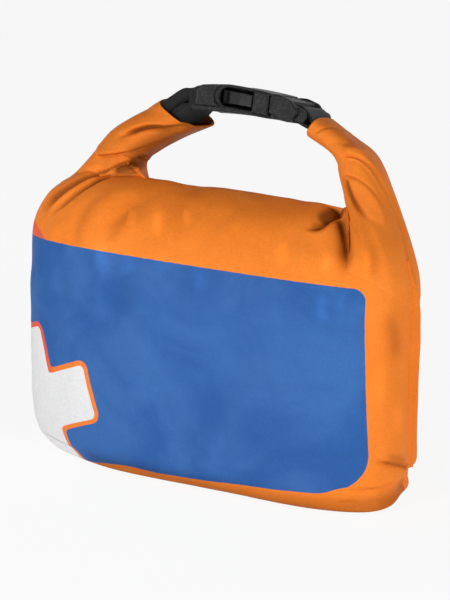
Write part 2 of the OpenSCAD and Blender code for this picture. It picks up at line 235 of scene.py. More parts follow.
ORANGE, ORANGE_DEEP = rgb(0.91, 0.240, 0.029), rgb(0.72, 0.15, 0.008)
BLUE, BLUE_DEEP = rgb(0.044, 0.139, 0.39), rgb(0.026, 0.101, 0.325)
WHITE = rgb(0.765, 0.765, 0.765)
OUTLINE, CORAL, CORAL_FIELD = rgb(0.87, 0.22, 0.04), rgb(0.76, 0.105, 0.055), rgb(0.80, 0.12, 0.06)

# the print, in the fabric's own millimetres from the middle of the base edge
BLUE_LEFT, BLUE_RIGHT, BLUE_LOW, BLUE_TOP = -91.0, 65.6, 7.5, 89.1
BLUE_CENTRE = ((BLUE_LEFT + BLUE_RIGHT) / 2, (BLUE_LOW + BLUE_TOP) / 2)
BLUE_HALF = ((BLUE_RIGHT - BLUE_LEFT) / 2, (BLUE_TOP - BLUE_LOW) / 2)
BLUE_RADII = (5.0, 17.0)
BLUE_SLANT = 0.068                      # how the lower edge rises to the right
CROSS_AT, CROSS_TILT = (-69.6, 21.8), (math.radians(16.5), math.radians(24))
CROSS_WIDE, CROSS_LONG, CROSS_ROUND, CROSS_LINE = 10.3, 29.2, 2.4, 1.9
CORAL_TOP, CORAL_RIGHT, CORAL_RISE = 87.6, -63.0, 0.47
TWILL_PITCH = 0.52


def box_distance(g, u, v, centre, half, radius):
    """Signed distance in mm to a rounded rectangle; radius is one number or (top, bottom)."""
    du, dv = u - centre[0], v - centre[1]
    if isinstance(radius, tuple):
        radius = g.math("GREATER_THAN", dv, 0.0) * (radius[0] - radius[1]) + radius[1]
    qu = g.math("ABSOLUTE", du) - half[0] + radius
    qv = g.math("ABSOLUTE", dv) - half[1] + radius
    out_u, out_v = g.math("MAXIMUM", qu, 0.0), g.math("MAXIMUM", qv, 0.0)
    inside = g.math("MINIMUM", g.math("MAXIMUM", qu, qv), 0.0)
    return g.math("SQRT", out_u * out_u + out_v * out_v) + inside - radius


def print_over(g, pos, u, v, colour):
    """The print over the plain cloth's colour, and where its ink lies."""
    slant = u * BLUE_SLANT + g.math("MINIMUM", u + 28.0, 0.0) * 0.10
    slant = slant * g.ramp(v, 0.0, 46.0, 1.0, 0.0)
    edge = box_distance(g, u, v - slant, BLUE_CENTRE, BLUE_HALF, BLUE_RADII)
    ink = g.ramp(edge + (g.noise(pos, 420.0, 1.0) - 0.5) * 0.25, 0.12, -0.12)
    blue = g.mix(g.ramp(g.noise(pos, 26.0, 3.0, 0.55, 0.8), 0.36, 0.64, 0.0, 0.9), BLUE, BLUE_DEEP)

    (a, b), in_u, in_v = CROSS_TILT, u - CROSS_AT[0], v - CROSS_AT[1]
    low = g.ramp(v, 24.0, 8.0)          # the figure's lower left runs on round the foot
    cu = in_u * math.cos(a) + in_v * math.sin(a) + low * 2.0
    cv = in_v * math.cos(b) - in_u * math.sin(b) + low * ((-62.0 - u) * 0.16)
    upright = box_distance(g, cu, cv, (0, -4), (CROSS_WIDE, CROSS_LONG + 3.0), CROSS_ROUND)
    level = box_distance(g, cu, cv, (0, 0), (CROSS_LONG, CROSS_WIDE), CROSS_ROUND)
    cross = g.math("SMOOTH_MIN", upright, level, CROSS_ROUND)
    line = g.mix(g.ramp(u, CROSS_AT[0] + 4, CROSS_AT[0] + 12), CORAL, OUTLINE)

    above = v - ((CORAL_RIGHT - u) * CORAL_RISE + CORAL_TOP)
    coral = g.ramp(above, 0.3, -0.3) * g.ramp(u, CORAL_RIGHT + 0.3, CORAL_RIGHT - 0.3)
    for mask, tone in ((coral, CORAL_FIELD), (ink, blue),
                       (g.ramp(cross, CROSS_LINE + 0.1, CROSS_LINE - 0.1) * ink, line),
                       (g.ramp(cross, 0.1, -0.1) * ink, WHITE)):
        colour = g.mix(mask, colour, tone)
    return colour, ink


def fabric_material(name, printed=False):
    """Coated woven fabric with fine grain; the front also carries the print. Painted shade and
    painted highlights along its folds come in through a point attribute.
    """
    g = Graph(bpy.data.materials.new(name))
    pos = g.position()
    u, v = g.cloth()
    fine = g.noise(pos, 1500.0, 2.0, 0.6)
    twill = g.sine(u * (2 * math.pi / TWILL_PITCH)) * g.sine(v * (2 * math.pi / TWILL_PITCH))
    weave = twill * 0.6 + fine
    colour = g.mix(g.ramp(g.noise(pos, 55.0), 0.3, 0.7, 0.0, 0.22), ORANGE, ORANGE_DEEP)
    if printed:
        colour, ink = print_over(g, pos, u, v, colour)
        weave = weave * g.ramp(ink, 0.0, 1.0, 1.0, 0.45)             # ink fills the weave
    # painted light and shade from the mesh: above 0 painted shade in creases and hollows, below 0
    # painted highlight streaks
    crease = g.node("Attribute", output="Fac", attribute_name="crease")
    # fine grain, the twill darker where its threads lie low (painted shade in the weave), then the
    # painted light and shade
    tone = (g.ramp(fine, 0.25, 0.75, 0.935, 1.055) * g.ramp(twill, -1.0, 1.0, 0.955, 1.03)
            * g.ramp(crease, 0.0, 1.0, 1.0, 0.26) * g.ramp(crease, -1.0, 0.0, 1.6, 1.0))
    soft = g.bump(g.noise(pos, 62.0, 3.0, 0.45, 0.6), 0.0016, 0.55)
    g.shade({"Base Color": g.node("VectorMath", ((0, colour), ("Scale", tone)), operation="SCALE"),
             "Roughness": g.ramp(g.noise(pos, 140.0), 0.3, 0.7, 0.45, 0.57),
             "Specular IOR Level": 0.06,
             "Normal": g.bump(weave, 0.00006, 0.65, soft)})
    return g.owner


ORANGE_CLOTH = fabric_material("orange_cloth")
PRINTED_CLOTH = fabric_material("printed_cloth", printed=True)

# ---------------------------------------------------------------- mesh helpers


def perlin(x, y, seed):
    """Smooth seeded noise in [-1, 1] on arrays."""
    table = np.random.RandomState(seed).permutation(256)
    table = np.concatenate([table, table])
    xi, yi = np.floor(x).astype(int), np.floor(y).astype(int)
    xf, yf = x - xi, y - yi
    fade_x, fade_y = (f ** 3 * (f * (f * 6 - 15) + 10) for f in (xf, yf))

    def corner(dx, dy):
        h = table[(table[(xi + dx) & 255] + yi + dy) & 255] * (2 * math.pi / 256)
        return np.cos(h) * (xf - dx) + np.sin(h) * (yf - dy)

    low = corner(0, 0) + fade_x * (corner(1, 0) - corner(0, 0))
    high = corner(0, 1) + fade_x * (corner(1, 1) - corner(0, 1))
    return (low + fade_y * (high - low)) * 1.5


def smooth(t):
    t = np.clip(t, 0.0, 1.0)
    return t * t * (3 - 2 * t)


def bell(t):
    return np.exp(-t ** 2)


def unit(vectors):
    return vectors / np.maximum(np.linalg.norm(vectors, axis=-1, keepdims=True), 1e-9)


def grid_normals(points, closed=False):
    """Unit normals of a grid of points (rows, columns, 3)."""
    if closed:
        along = np.roll(points, -1, 1) - np.roll(points, 1, 1)
    else:
        along = np.gradient(points, axis=1)
    return unit(np.cross(along, np.gradient(points, axis=0)))


def paint(mesh, material):
    mesh.polygons.foreach_set("use_smooth", [True] * len(mesh.polygons))
    mesh.materials.clear()
    mesh.materials.append(material)


def grid_object(name, points, uv, material, closed=False, thick=0.6, offset=-1.0, flip=False,
                shade=None):
    """A piece of cloth through a grid of points in mm; uv is the fabric's own mm; shade, if given,
    is its painted shade (a painted highlight below 0).
    """
    rows, cols = points.shape[:2]
    if closed:                                          # the uv runs on into one more column
        step = uv[0, -1, 0] + uv[0, 1, 0] - 2 * uv[0, 0, 0]
        uv = np.concatenate([uv, uv[:, :1] + (step, 0)], 1)
    r, c = np.meshgrid(np.arange(rows - 1), np.arange(cols if closed else cols - 1), indexing="ij")
    r = np.stack([r, r, r + 1, r + 1], -1).reshape(-1, 4)
    c = np.stack([c, c + 1, c + 1, c], -1).reshape(-1, 4)
    if flip:
        r, c = r[:, ::-1], c[:, ::-1]
    mesh = bpy.data.meshes.new(name)
    mesh.from_pydata((points.reshape(-1, 3) * MM).tolist(), [], (r * cols + c % cols).tolist())
    mesh.uv_layers.new(name="cloth").data.foreach_set("uv", (uv[r, c] * MM).ravel())
    # painted shade and painted highlight, kept on the points for the material
    if shade is not None:
        crease = mesh.attributes.new("crease", "FLOAT", "POINT")
        crease.data.foreach_set("value", shade.ravel())
    paint(mesh, material)
    obj = place(name, mesh)
    if thick:
        mod = obj.modifiers.new("thickness", "SOLIDIFY")
        mod.thickness = thick * MM
        mod.offset = offset
        mod.use_even_offset = False
    return obj


def hand_over(obj, slot, *nodes, body=None):
    """Hide the nodes that the piece replaces and attach it to what it rides on. slot, what the
    piece is made of, is not used.
    """
    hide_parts(*nodes)
    if body:
        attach(obj, body)


def arc(points):
    """Running length along a line of points."""
    steps = np.linalg.norm(np.diff(points, axis=0), axis=1)
    return np.concatenate([[0.0], np.cumsum(steps)])


def spline(keys, t):
    """Smooth values through (t, value...) keys at the given t."""
    keys = np.array(keys, float)
    ts, vals = keys[:, 0], keys[:, 1:]
    slope = np.gradient(vals, ts, axis=0)
    i = np.clip(np.searchsorted(ts, t, side="right") - 1, 0, len(ts) - 2)
    h = (ts[i + 1] - ts[i])[:, None]
    return hermite((t - ts[i])[:, None] / h, vals[i], slope[i] * h, vals[i + 1], slope[i + 1] * h)


def hermite(t, a, run_a, b, run_b):
    """Smooth way from a to b with the given runs at its ends."""
    return ((2 * t ** 3 - 3 * t ** 2 + 1) * a + (t ** 3 - 2 * t ** 2 + t) * run_a
            + (-2 * t ** 3 + 3 * t ** 2) * b + (t ** 3 - t ** 2) * run_b)


# ---------------------------------------------------------------- pouch shell

BODY_W, BODY_D, BODY_H = 150.0, 60.0, 107.0
WALL_TOP, BASE_R, FABRIC_T = 69.0, 5.0, 0.8
CROWN_Y, TUCK_Y, TUCK_Z, TUCK_GAP = 3.0, 9.0, 88.0, 1.5
SHOULDER_X, SHOULDER_Z = 64.0, 102.0
CORNER_ROWS, WALL_ROWS, CROWN_ROWS, SHELL_COLS = 16, 66, 120, 300
BASE_ROWS = 44
CROWN_SHARE = 0.72
LEAN, FOLD_Y, FOLD_Z, LOOP_H = math.radians(19), 15.0, 112.0, 25.0
QUARTER = math.pi / 2


def stations():
    return np.concatenate([np.linspace(0, 1, CORNER_ROWS, endpoint=False),
                           1 + np.linspace(0, 1, WALL_ROWS, endpoint=False),
                           2 + np.linspace(0, 1, CROWN_ROWS)])


def wall_line(half, t):
    """Base corner then straight wall: distance from the middle, and height."""
    turn = np.clip(t, 0, 1) * QUARTER
    out = half - BASE_R + BASE_R * np.sin(turn)
    high = (FABRIC_T + BASE_R * (1 - np.cos(turn))
            + np.clip(t - 1, 0, 1) * (WALL_TOP - FABRIC_T - BASE_R))
    return out, high


def front_line(t):
    out, high = wall_line(BODY_D / 2, t)
    s = np.clip(t - 2, 0, 1)
    rise = np.clip(s / CROWN_SHARE, 0, 1) * QUARTER
    fall = np.clip((s - CROWN_SHARE) / (1 - CROWN_SHARE), 0, 1) * QUARTER
    y = (-out + (CROWN_Y + BODY_D / 2) * (1 - np.cos(rise))
         + (TUCK_Y - TUCK_GAP - CROWN_Y) * np.sin(fall))
    z = high + (BODY_H - WALL_TOP) * np.sin(rise) - (BODY_H - TUCK_Z) * (1 - np.cos(fall))
    return y, z


def back_line(t):
    out, high = wall_line(BODY_D / 2, t)
    turn = np.clip(t - 2, 0, 1) * QUARTER
    return (out - (BODY_D / 2 - TUCK_Y - TUCK_GAP) * (1 - np.cos(turn)),
            high + (TUCK_Z - WALL_TOP) * np.sin(turn))


def seam_line(t):
    out, high = wall_line(BODY_W / 2, t)
    turn = np.clip(t - 2, 0, 1) * QUARTER
    x = out - (BODY_W / 2 - SHOULDER_X) * (1 - np.cos(turn))
    z = high + (SHOULDER_Z - WALL_TOP) * np.sin(turn)
    return x, TUCK_Y * smooth(turn / QUARTER), z


def plan_outline(angle, power=3.0):
    c, s = np.cos(angle), np.sin(angle)
    r = (np.abs(c) ** power + np.abs(s) ** power) ** (1 / power)
    return c / r, s / r


def squareness(t, angle, front):
    """Exponent of the plan outline: boxed at the right front foot, rounder elsewhere."""
    low = bell(t / 1.25)
    if not front:
        return 3.0 - 0.5 * (1 - smooth((t - 1.9) / 0.8)) - 0.25 * low
    return (3.0 + 2.0 * low * smooth((QUARTER - angle) / 0.8 + 0.3)
            - 0.6 * low * smooth((angle - QUARTER) / 0.8))


def even_angles(count):
    """Angles from the right seam to the left one, at even steps of cloth."""
    fine = np.linspace(0, math.pi, 4001)
    c, s = plan_outline(fine)
    run = arc(np.stack([c * BODY_W / 2, s * BODY_D / 2], 1))
    return np.interp(np.linspace(0, run[-1], count), run, fine), run[-1]


def shell(front):
    """Grid of one side of the plain pouch: stations, plan angles, points and cloth coordinates."""
    angles, length = even_angles(SHELL_COLS)
    t, angle = np.meshgrid(stations(), angles, indexing="ij")
    c, s = plan_outline(angle, squareness(t, angle, front))
    profile = front_line if front else back_line
    (y, z), (sx, sy, sz) = profile(t), seam_line(t)
    points = np.stack([sx * c, sy + (y - sy) * s, sz + (z - sz) * s], -1)
    v = arc(np.stack(profile(stations()), 1))
    u = length / 2 - np.linspace(0, length, SHELL_COLS)
    return t, angle, points, np.stack(np.meshgrid(u, v), 2)


# Folds are placed on a plane that faces the main view, in its own small units.

UNIT, PLANE_X, PLANE_Y = 0.367, 224.5, 466.1
SIDE_X, SIDE_Y = math.sin(AZIMUTH), math.cos(AZIMUTH)


def on_plane(points):
    """Millimetres across and up that plane."""
    x, y, z = points[..., 0], points[..., 1], points[..., 2]
    deep = -x * SIDE_X + y * SIDE_Y
    return np.stack([x * SIDE_Y + y * SIDE_X,
                     deep * math.sin(ELEVATION) + z * math.cos(ELEVATION)], -1)


def rounded_path(path):
    """A path of spots on that plane, in millimetres, with its corners rounded."""
    p = np.array([((x - PLANE_X) * UNIT, (PLANE_Y - y) * UNIT) for x, y in path])
    if len(p) > 2:
        run = arc(p)
        p = spline(np.concatenate([run[:, None], p], 1), np.linspace(0, run[-1], 4 * len(p)))
    return p


def along_path(q, p):
    """Distance of q (.., 2) to the path p, the share along it, and the side (+ is left of it)."""
    best, share, sign = np.inf, 0.0, 0.0
    for k, (a, b) in enumerate(zip(p[:-1], p[1:])):
        d = b - a
        s = np.clip(((q - a) @ d) / (d @ d), 0, 1)
        off = q - (a + s[..., None] * d)
        side = np.sign(d[0] * off[..., 1] - d[1] * off[..., 0])
        far, s = np.linalg.norm(off, axis=-1), (s + k) / (len(p) - 1)
        closer = far < best
        best, share, sign = (np.where(closer, far, best), np.where(closer, s, share),
                             np.where(closer, side, sign))
    return best, share, sign


def line(width, depth, *path, **how):
    """One fold: its width, its height and the spots that it runs through."""
    return path, width, depth, how


def tone(width, dark, *path, **how):
    """A streak of painted shade that only darkens the cloth's colour, or a painted highlight where
    dark is below 0.
    """
    return path, width, 0.0, dict(how, dark=dark)


def fold(q, path, width, depth, left=0.0, right=0.0, reach=6.0, fade=0.4, fades=None, dark=0.0):
    """Height of a fold at q: a groove (depth < 0) or ridge along path, and how high the cloth
    stands to its left and right, dying away over reach. Also the shade painted along its groove and
    beside its sunken side, or a painted highlight where dark is below 0."""
    d, share, sign = along_path(q, rounded_path(path))
    f0, f1 = fades or (fade, fade)
    ends = (smooth(share / f0) if f0 else 1) * (smooth((1 - share) / f1) if f1 else 1)
    if dark < 0:
        return 0 * d, ends * dark * bell(d / width)
    blend = 0.5 * (1 + np.tanh(d * sign / (0.45 * width)))
    sides = (blend * left + (1 - blend) * right) * np.exp(-(d / reach) ** 1.5)
    # painted shade along the groove, and beside a side that sinks
    shade = bell(d / (1.1 * width)) * max(dark, min(max(-depth / 2.6, 0), 1))
    shade = np.maximum(shade, np.clip(-sides / 3.0, 0, 0.8) * bell(d / (0.6 * reach)))
    return ends * (depth * bell(d / width) + sides), ends * shade


def stronger(a, b):
    return np.where(np.abs(a) > np.abs(b), a, b)


def apply_folds(points, folds, facing):
    """Height that the folds give a grid, and the shade painted into their creases (a painted
    highlight below 0).
    """
    q = on_plane(points)
    high, shade = np.zeros(points.shape[:-1]), np.zeros(points.shape[:-1])
    for path, width, depth, how in folds:
        lift, dark = fold(q, path, width, depth, **how)
        high += lift
        shade = stronger(shade, dark)
    return high * facing, shade * facing


FRONT_FOLDS = [
    # pillow's right end: hollow behind a fold that rises to the leg
    line(1.2, -1.6, (300, 231), (318, 228), (330, 217), (342, 211),
         left=-1.9, right=1.0, reach=3.4, fades=(0.4, 0.05)),
    # painted shade in the hollow behind the fold
    tone(2.3, 1.0, (310, 223), (324, 215), (336, 208), (344, 204), fades=(0.35, 0.0)),
    tone(2.2, 0.55, (302, 228), (314, 226), (326, 219)),
    line(2.4, -2.2, (335, 213), (339.5, 232), (341, 256), (340, 282), reach=5.0, fades=(0.12, 0.5)),
    line(3.4, 1.0, (329, 236), (330, 258), (326, 284), fade=0.5),
    line(5.0, 0.9, (308, 240), (300, 262), (292, 284), fade=0.5),
    line(2.6, 0.9, (366, 258), (364, 276), (367, 300)),
    # pillow's left end: creases fan out below the left leg
    line(4.0, 1.1, (150, 184), (118, 194), (98, 214), (90, 236)),
    line(2.4, -0.7, (112, 190), (92, 206), (78, 232), (80, 262), left=0.5, reach=5.0),
    line(3.4, -0.6, (170, 192), (140, 206), (118, 226), (112, 262), left=0.5, reach=6.0),
    line(3.2, 0.9, (142, 214), (122, 232), (112, 254)),
    line(2.4, 0.8, (66, 216), (52, 232), (48, 262)),
    line(5.0, -0.5, (196, 196), (180, 212), (170, 236), fade=0.5),
    # soft streaks below the print's top edge
    line(5.0, -0.4, (128, 250), (118, 300), (100, 340)),
    line(3.4, 1.0, (106, 246), (98, 290), (90, 330)),
    line(3.6, -0.4, (60, 244), (62, 280), (56, 320)),
    line(5.0, 0.7, (205, 262), (198, 300), (204, 330)),
    line(5.0, 0.6, (318, 282), (312, 316), (318, 350)),
    line(4.0, -0.4, (352, 296), (356, 330), (352, 370)),
    # light and shade on the satin
    tone(3.4, -0.5, (97, 232), (102, 255), (106, 285), fade=0.45),
    tone(2.4, -0.3, (108, 236), (113, 250), (116, 268), fade=0.45),
    tone(3.2, -0.4, (126, 243), (129, 258), (131, 282), fade=0.45),
    tone(3.4, -0.35, (157, 250), (162, 264), (164, 282), fade=0.45),
    tone(3.2, -0.4, (196, 256), (200, 275), (197, 300)),
    tone(2.6, -0.5, (322, 285), (318, 306), (322, 330)),
    tone(2.0, -0.4, (340, 288), (336, 300), (338, 318)),
    tone(3.2, -0.2, (318, 446), (340, 442), (360, 446), fade=0.45),
    tone(2.6, 0.15, (322, 456), (342, 452), (362, 455), fade=0.45),
    tone(2.2, -0.45, (162, 200), (157, 220), (160, 246)),
    tone(2.0, -0.35, (188, 204), (186, 216), (190, 230)),
    tone(2.2, -0.4, (136, 204), (132, 218), (134, 232)),
    tone(3.0, -0.4, (286, 236), (280, 256), (284, 274)),
    tone(2.0, -0.45, (324, 248), (323, 262), (318, 280)),
    tone(2.0, -0.35, (356, 240), (362, 262), (360, 286)),
    tone(3.2, 0.38, (376, 300), (388, 330), (391, 352), (384, 372)),
    tone(3.0, -0.3, (372, 350), (376, 380), (372, 410)),
    tone(3.2, -0.3, (392, 390), (394, 420), (390, 444)),
    tone(2.2, 0.42, (374, 452), (390, 456), (406, 461), fade=0.35),
    # base corners
    line(0.8, -1.8, (410, 467), (392, 462), (366, 455.5),
         left=-0.2, right=1.0, reach=3.0, fades=(0.02, 0.4)),
    line(2.4, 0.7, (356, 480), (352, 492), (340, 500)),
    line(0.9, -1.2, (384, 506), (370, 504), (352, 499), (336, 499),
         left=-0.3, right=0.5, reach=2.4, fades=(0.1, 0.4)),
]
LEFT_FOLDS = [
    # shadowed gap under the outer wrap, and the wrap's edge below it
    line(0.9, -2.6, (114, 137), (128, 132.5), (148, 127), (168, 128), (194, 126),
         right=0.6, left=1.3, reach=2.4, fades=(0.3, 0.25)),
    # smooth band and the pleats under it, with painted shade in their grooves and in the dark pleat
    # by the pillow
    line(0.7, -1.4, (94, 155.5), (118, 153.5), (134, 149.5), (151, 142.5), (180, 134),
         left=1.7, right=-0.7, reach=3.2, fades=(0.06, 0.3)),
    line(0.7, -1.7, (149, 155), (127, 161.5), (107, 169.5), (92, 174.5), (74, 181), (56, 192),
         (44, 206), (39, 217), left=-0.7, right=1.1, reach=2.0, fades=(0.05, 0.2), dark=0.75),
    line(0.8, 1.2, (112, 172), (86, 182), (66, 195), (51, 207), (45, 217), fades=(0.3, 0.25)),
    line(0.7, -1.6, (116, 173), (104, 177), (86, 187), (66, 201), (48, 214),
         right=-0.5, reach=2.2, fades=(0.1, 0.3), dark=0.85),
    line(2.4, -0.8, (108, 171), (124, 167), (138, 163), (147, 159), fades=(0.25, 0.1), dark=1.0),
    line(1.3, -0.6, (113, 172.5), (130, 172), (142, 170), fade=0.25, dark=0.65),
    # small streaks on the wraps
    line(2.0, 0.5, (103, 146), (118, 144), (134, 141)),
    line(2.0, -0.5, (138, 114), (156, 111), (172, 114)),
    line(1.4, 0.5, (176, 120), (190, 123.5), (202, 126)),
]
RIGHT_FOLDS = [
    # the wrap's stitched edge, down to the side seam
    line(0.55, -0.8, (337, 157), (355, 160), (366, 167.5), (378, 183), (388, 203), (395.5, 223),
         (402.5, 250), (408, 272), (413, 292), (416.5, 318),
         left=0.7, right=-0.2, reach=2.4, fades=(0.04, 0.2)),
    line(0.5, 0.35, (341, 160), (355, 163), (363.5, 170), (374.5, 186), (384, 205), (391, 225),
         (398, 252), (404, 276), fades=(0.05, 0.2)),
    # leaf-shaped fold
    line(0.8, -0.45, (341, 176.5), (356, 183), (370, 196), (380, 214), (381, 224), (377, 230),
         right=1.0, left=0.1, reach=3.4, fades=(0.08, 0.2)),
    line(1.1, -2.0, (343, 179), (346, 192), (355, 210), (366, 221), (377, 230),
         left=0.8, right=0.3, reach=3.2, fades=(0.1, 0.6)),
    # edge that hangs over the pillow's end
    line(1.0, -0.5, (341, 178), (341, 193), (339.5, 207), (340.5, 218), (344.5, 236), (346, 256),
         (344.5, 282), left=0.8, right=-0.9, reach=3.2, fades=(0.12, 0.35)),
    line(3.0, 0.8, (352, 226), (357, 245), (358, 272)),
    line(2.6, -0.7, (366, 236), (370, 258), (368, 284), left=0.3, reach=4.0),
    line(2.6, 0.6, (378, 240), (381, 262), (379, 290)),
    # tip: hem, and the crease where it bends
    line(0.5, -0.5, (312, 137), (320, 132), (330, 129.5), (348, 133),
         left=-0.1, right=0.35, reach=2.0, fade=0.12),
    line(1.8, -0.6, (322, 148), (334, 146), (348, 150), right=0.4, reach=3.0, fade=0.3),
    line(1.4, 0.6, (336, 154), (350, 152), (366, 160), fade=0.3),
]
# the back's creases: from x at the roll to x lower down, and height
BACK_CREASES = ((30, 46, -1.6), (50, 60, 1.2), (60, 70, -1.4), (12, 20, 0.8))


def front_facing(normal):
    """How far a normal faces the main view."""
    return smooth((normal @ np.array(direction(AZIMUTH, ELEVATION)) + 0.1) / 0.35)


def foot(points):
    """The boxed foot: rounded under at the left, set in below a ledge at the right."""
    x, z = points[..., 0], points[..., 2]
    low = np.clip(12 - z, 0, 11.2)
    left = 0.45 * (12 - np.sqrt(144 - low ** 2)) * smooth((-x - 25) / 45)
    ledge = 3.3 * smooth((11.8 - z) / 1.8) - 2.8 * smooth((5 - z) / 4)
    points[..., 0] += left - ledge * smooth((x - 45) / 22)
    return points


def dressed(front):
    """One side of the filled pouch: its grid, cloth coordinates and the shade painted into its
    creases and lowest strip.
    """
    t, angle, points, uv = shell(front)
    x, z, u, v = points[..., 0], points[..., 2], uv[..., 0], uv[..., 1]
    top = uv[-1, 0, 1]
    normal = grid_normals(points)
    if np.mean(np.sum(normal * (points - (0, 0, 50)), -1)) < 0:
        normal = -normal
    mid = smooth((88 - np.abs(u)) / 14) * smooth(v / 10) * smooth((top - v) / 12)
    seed = 3 if front else 13
    high = mid * (0.85 * perlin(u / 34, v / 26, seed) + 0.40 * perlin(u / 15, v / 19, seed + 2)
                  + 0.13 * perlin(u / 6, v / 8, seed + 5))
    shade = 0 * high
    # the filled left side swells below its shoulder, and stands out a little further down
    high += 3.2 * bell((z - 87) / 11) * smooth((angle - 2.5) / 0.55)
    high += 1.6 * smooth((angle - 2.3) / 0.6) * smooth((76 - z) / 40)
    # the shell lies under the legs' cloth, and its top corners sink below both legs
    leaves = 2.12 + (0.26 if front else 0.18) * np.clip(angle / 0.84, 0, 1)
    high -= 4.5 * smooth((t - leaves) / 0.22) * smooth((0.80 - angle) / 0.16)
    high -= 1.6 * smooth((t - 2.84) / 0.14) * smooth((angle - 2.3) / 0.3)
    far_left = smooth((angle - 2.5) / 0.35)
    left = smooth((t - 2.5) / 0.32) * far_left
    right = smooth((t - 2.45) / 0.3) * smooth((0.5 - angle) / 0.3)
    drop = np.stack([2.6 * left - 3.0 * right, 0 * left,
                     -1.2 * left - 3.0 * smooth((t - 2.88) / 0.1) * far_left - 8.0 * right], -1)
    if front:
        # the front leans out at its right foot and back at its left one
        out = 2.2 * smooth((52 - z) / 46) * smooth((x + 20) / 70)
        back = 1.6 * smooth((24 - z) / 20) * smooth((-x - 5) / 60)
        high += (out - back) * smooth(v / 7) * smooth(np.sin(angle) / 0.6)
        high -= (1.4 * bell((v - 6) / 5) * smooth((30 - x) / 70) * smooth(v / 4)
                 * smooth(np.sin(angle) / 0.5))
        lift, shade = apply_folds(points, FRONT_FOLDS + LEFT_FOLDS + RIGHT_FOLDS,
                                  smooth((v - 4) / 6) * smooth((top - v) / 8)
                                  * front_facing(normal))
        high += lift
        # painted shade along the front's lowest strip, where it turns under
        shade = stronger(shade, 0.55 * smooth((14 - v) / 9) * smooth((x + 55) / 15))
    else:
        high += 0.4 * mid
        for side in (-1, 1):
            for x0, x1, deep in BACK_CREASES:
                path = np.array([(side * x0, 100), (side * (x0 + x1) / 2, 82), (side * x1, 56)])
                high += (deep * bell(along_path(uv, path)[0] / 3.4) * smooth((v - 52) / 12)
                         * smooth((top - v) / 6))
    # welded sides draw in beside the seam
    high -= (0.9 * bell((np.abs(u) - np.abs(uv[0, 0, 0])) / 2.6) * smooth((v - 8) / 8)
             * smooth((72 - v) / 18))
    return foot(points + high[..., None] * normal + drop), uv, shade


def base_cloth():
    """Underside of the pouch, from the front's lowest row to the back's."""
    w = np.linspace(0, 1, BASE_ROWS)[:, None, None]
    points = front_points[0] * (1 - w) + back_points[0] * w
    span = np.linalg.norm(front_points[0] - back_points[0], axis=1)[None, :]
    edge = np.minimum(w[..., 0], 1 - w[..., 0]) * span
    points[..., 2] = 0.8 - 0.6 * smooth(edge / 4)
    return grid_object("base_cloth", points, points[..., :2].copy(), ORANGE_CLOTH)


front_points, front_uv, front_shade = dressed(True)
back_points, back_uv, _ = dressed(False)
hand_over(grid_object("front_cloth", front_points, front_uv, PRINTED_CLOTH, flip=True,
                      shade=front_shade), "orange_fabric", "front_panel", body="pouch")
hand_over(grid_object("back_cloth", back_points, back_uv, ORANGE_CLOTH),
          "orange_fabric", "back_panel", body="pouch")
hand_over(base_cloth(), "orange_fabric", "base_panel", body="pouch")

# ---------------------------------------------------------------- legs of the loop

COLS, BODY_RINGS, RUN_ROWS = 180, 20, 80
RING_STATIONS, STEP = 0.16, 0.02        # how far the rings reach down, and a step for slopes
LEFT_ROWS, RIGHT_ROWS, ROWS_BELOW_SPLIT = 150, 130, 10
INNER = 135                             # degrees either way to a leg's inner side
LEFT_KEYS = [
    # share, x, z, half thickness, half width, turn (x is the distance from the middle)
    (0.00, 48.2, -1.5, 8.6, 11.0, 10),
    (0.20, 45.4, 2.6, 7.8, 11.2, 32),
    (0.42, 40.0, 6.9, 7.3, 11.3, 50),
    (0.70, 32.2, 12.1, 7.2, 11.2, 56),
    (1.00, 23.9, 17.2, 7.9, 11.0, 58),
]
RIGHT_KEYS = [
    (0.00, 49.2, 0.5, 8.2, 11.2, 4),
    (0.25, 46.7, 5.3, 7.2, 11.2, 16),
    (0.50, 43.8, 9.4, 5.8, 11.0, 34),
    (0.72, 38.6, 12.9, 4.5, 10.8, 50),
    (1.00, 27.6, 18.5, 4.6, 10.8, 58),
]


def in_world(points):
    """From the loop's own frame (x, y across it, z up from the fold line) to the world, in mm."""
    x, y, z = points[..., 0], points[..., 1], points[..., 2]
    return np.stack([x, FOLD_Y + y * math.cos(LEAN) + z * math.sin(LEAN),
                     FOLD_Z - y * math.sin(LEAN) + z * math.cos(LEAN)], -1)


def leg_tube(keys, side, rows, angles, mouth):
    """Rings of a leg along its keys; its open end is cut at the slant that mouth gives."""
    s = np.linspace(0, 1, rows)
    x, z, thick, wide, turn = spline(keys, s).T
    c, q = plan_outline(angles, 2.6)
    turn = np.radians(turn)[:, None]
    run = unit(np.gradient(np.stack([x, z], 1), axis=0))
    reach = mouth(c, q) * smooth((s[:, None] - 0.45) / 0.55)
    px = x[:, None] + thick[:, None] * c * np.cos(turn) + reach * run[:, :1]
    pz = z[:, None] + thick[:, None] * c * np.sin(turn) + reach * run[:, 1:]
    return in_world(np.stack([side * px, wide[:, None] * q * np.ones_like(px), pz], -1))


def on_cloth(grid, t, angle):
    """Point of a dressed grid at stations t and plan angles."""
    row = np.interp(t, stations(), np.arange(grid.shape[0]))
    col = np.interp(angle, even_angles(SHELL_COLS)[0], np.arange(SHELL_COLS))
    r = np.minimum(row.astype(int), grid.shape[0] - 2)
    c = np.minimum(col.astype(int), SHELL_COLS - 2)
    fr, fc = (row - r)[..., None], (col - c)[..., None]
    return ((grid[r, c] * (1 - fc) + grid[r, c + 1] * fc) * (1 - fr)
            + (grid[r + 1, c] * (1 - fc) + grid[r + 1, c + 1] * fc) * fr)


